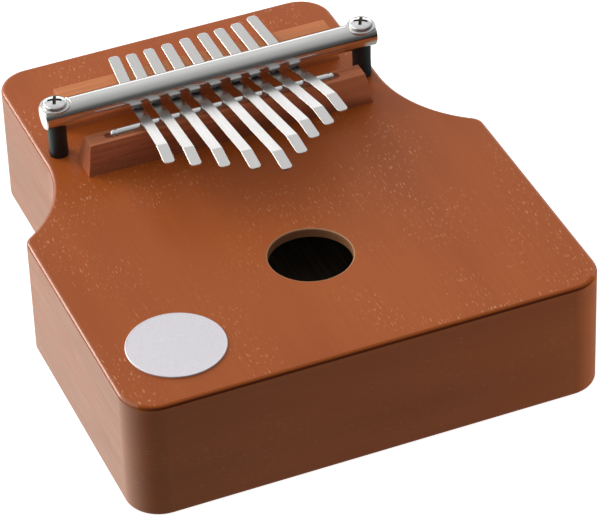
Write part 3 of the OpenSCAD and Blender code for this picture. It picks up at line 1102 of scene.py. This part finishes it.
def skin_strip(bm, rings, marks, shift):
    """The strip's surface. U runs across it, moved by shift, and V along it."""
    uv = bm.loops.layers.uv["grain"]
    count = len(rings[0])
    girth = [side + shift for side, _ in section(TINE_W / 2, TINE_T / 2, TINE_EDGE)]
    for a, b, mark_a, mark_b in zip(rings, rings[1:], marks, marks[1:]):
        for i in range(count):
            j = (i + 1) % count
            face = bm.faces.new((a[i], a[j], b[j], b[i]))
            face.smooth = True
            places = ((girth[i], mark_a), (girth[j], mark_a), (girth[j], mark_b), (girth[i], mark_b))
            for loop, place in zip(face.loops, places):
                loop[uv].uv = place
    bm.faces.new(rings[0])
    bm.faces.new(reversed(rings[-1]))


def make_tine(number):
    """One spring steel strip, bent under the bar and near its tip, that flexes ahead of the rest rod."""
    shank, blade = f"tine_{number}_shank", f"tine_{number}_blade"
    joint = next(j for j in frame["joints"] if j["child"] == blade)
    hinge = Vector(joint["pos_m"])
    across = Vector(joint["axis"]).normalized()
    ahead = Vector((across.y, -across.x, 0))
    up = Vector((0, 0, 1))
    lean = abs(across.y)
    tip_reach = hinge.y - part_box(blade)[0].y
    tail_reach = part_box(shank)[1].y - hinge.y
    square_end = TINE_W / 2 * lean
    round_end = (TINE_W / 2 - TINE_CORNER) * lean + TINE_CORNER * (1 - across.x)
    tip = (tip_reach - round_end) / across.x
    tail = (tail_reach - square_end) / across.x
    path = filleted(strip_corners(tip, tail, (BAR.y - hinge.y) / across.x), (KNEE_R, FLEX_R, KNEE_R, KNEE_R))
    bm = start_mesh()
    wear_and_painted_light = bm.verts.layers.float["wear_and_painted_light"]
    rings, marks = [], []
    for point, direction, to_end, mark in stations(path, end_marks()):
        half_w = TINE_W / 2 - rounding(to_end, TINE_CORNER)
        half_t = TINE_T / 2 - rounding(to_end, TINE_EDGE)
        normal = Vector((-direction.y, direction.x))
        if normal.y < 0:
            normal = -normal
        ring = []
        for side, height in section(half_w, half_t, TINE_EDGE):
            place = point + normal * height
            ring.append(hinge + ahead * place.x + up * place.y + across * side)
        rings.append(add_ring(bm, ring))
        marks.append(mark)
        for k, v in enumerate(rings[-1]):
            v[wear_and_painted_light] = TINE_WEAR if k % (EDGE_STEPS + 1) in (1, 2) else 0.0
    skin_strip(bm, rings, marks, number * GRAIN_SHIFT)
    made = make_object(f"tine_{number}", bm, [tine_steel], sharp=50)
    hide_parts(shank, blade)
    flex_start = hinge - ahead * FLEX_BEHIND
    flex_end = hinge + ahead * min(FLEX_AHEAD, FLEX_SHARE * tip)
    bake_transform(made, shank, blade, start=flex_start, end=flex_end)


for number in range(1, TINE_COUNT + 1):
    make_tine(number)


# ---- Carried-over CAD nodes ----------------------------------------------------

brace = frame["nodes"]["bridge_brace"]
brace.data.materials.clear()
brace.data.materials.append(spruce)


# ---- Floor, light and sky ----------------------------------------------------

# How bright the parts of the studio are.
SKY_STRENGTH = 0.6
ZENITH_GLOW = 0.33
BACKDROP_GLOW = 0.95
NEAR_TABLE = 0.35
FAR_TABLE = 1.3
FLOOR_GLOW = 0.9
TABLE_TINT = rgb(1.0, 0.99, 0.88)
WHITE = rgb(1, 1, 1)

# Directions in the studio, as unit vectors.
BACK_SLOPE = (0, 0.966, 0.259)
BACK = (0, 1, 0)
FAR_LEFT = (-0.6, 0.8, 0)

FLOOR_HALF = 4
FLOOR_GAP = 0.1 * MM


def make_floor():
    """A plain pale floor that the object neither mirrors nor is lit by."""
    bm = bmesh.new()
    bmesh.ops.create_grid(bm, x_segments=1, y_segments=1, size=FLOOR_HALF)
    mesh = bpy.data.meshes.new("floor")
    bm.to_mesh(mesh)
    bm.free()
    paint = start_material("floor_paint", Roughness=0.8, Base_Color=rgb(0.5, 0.5, 0.5),
                           Emission_Color=WHITE, Emission_Strength=FLOOR_GLOW)[0]
    mesh.materials.append(paint)
    floor = link(bpy.data.objects.new("floor", mesh))
    floor.location.z = cad_low.z - FLOOR_GAP
    floor.visible_diffuse = False
    floor.visible_glossy = False


def facing(tree, direction, towards):
    """1 where the direction points towards a unit vector, -1 where it points away."""
    made = add(tree, "ShaderNodeVectorMath", {0: direction, 1: towards}, operation="DOT_PRODUCT")
    return made.outputs["Value"]


def make_world():
    """A soft studio: a bright backdrop that fades overhead to a dim player's side, and a pale table."""
    world = bpy.data.worlds.new("studio")
    bpy.context.scene.world = world
    world.use_nodes = True
    tree = world.node_tree
    tree.nodes.clear()
    direction = add(tree, "ShaderNodeTexCoord").outputs["Generated"]
    height = add(tree, "ShaderNodeSeparateXYZ", {0: direction}).outputs["Z"]
    half_turn = {0: facing(tree, direction, BACK_SLOPE), 1: 0.5, 2: 0.5}
    half_back = add(tree, "ShaderNodeMath", half_turn, operation="MULTIPLY_ADD").outputs[0]
    sky = math_node(tree, "MULTIPLY", math_node(tree, "POWER", half_back, 1.6), SKY_STRENGTH)
    low_band = remap(tree, height, 0.5, 0.2)
    backdrop = math_node(tree, "MULTIPLY", low_band, remap(tree, facing(tree, direction, BACK), 0.2, 0.8))
    sky = math_node(tree, "ADD", sky, math_node(tree, "MULTIPLY", backdrop, BACKDROP_GLOW))
    sky = math_node(tree, "ADD", sky, remap(tree, height, 0.25, 0.85, 0.07, ZENITH_GLOW))
    near_table = remap(tree, height, -0.45, -0.62, 0.0, NEAR_TABLE)
    far_table = remap(tree, facing(tree, direction, FAR_LEFT), -0.1, 0.85, 0.0, FAR_TABLE)
    far_table = math_node(tree, "MULTIPLY", far_table, remap(tree, height, -0.15, -0.58, 0.1, 1.0))
    table = math_node(tree, "ADD", near_table, far_table)
    above = remap(tree, height, -0.03, 0.03)
    below = math_node(tree, "SUBTRACT", 1.0, above)
    sky_light = math_node(tree, "MULTIPLY", sky, above)
    light = math_node(tree, "ADD", sky_light, math_node(tree, "MULTIPLY", table, below))
    tint = mix_colour(tree, above, TABLE_TINT, WHITE)
    background = add(tree, "ShaderNodeBackground", {"Color": tint, "Strength": light})
    out = add(tree, "ShaderNodeOutputWorld")
    tree.links.new(background.outputs[0], out.inputs[0])


def make_softbox(name, place, size, power, colour=(1, 1, 1), target=(0, 0, 0.03), reflected=True):
    """A rectangular lamp in metres and watts, aimed at the target."""
    data = bpy.data.lights.new(name, "AREA")
    data.shape = "RECTANGLE"
    data.size, data.size_y = size
    data.energy = power
    data.color = colour
    lamp = link(bpy.data.objects.new(name, data))
    lamp.location = place
    lamp.rotation_euler = (Vector(target) - Vector(place)).to_track_quat("-Z", "Y").to_euler()
    lamp.visible_glossy = reflected


make_floor()
make_world()
make_softbox("key", (-1.0, 0.25, 0.66), (1.2, 1.2), 3.0)
make_softbox("side", (0.34, -0.17, 0.012), (0.25, 0.04), 0.72, target=(0.02, -0.09, 0.012), reflected=False)
make_softbox("edge", (-0.72, 0.9, 0.48), (0.45, 0.65), 7.5, colour=(1.0, 0.87, 0.76))
make_softbox("back", (0.5, 1.0, 0.6), (1.0, 0.5), 2.8, reflected=False)
bpy.context.scene.view_settings.view_transform = "Standard"
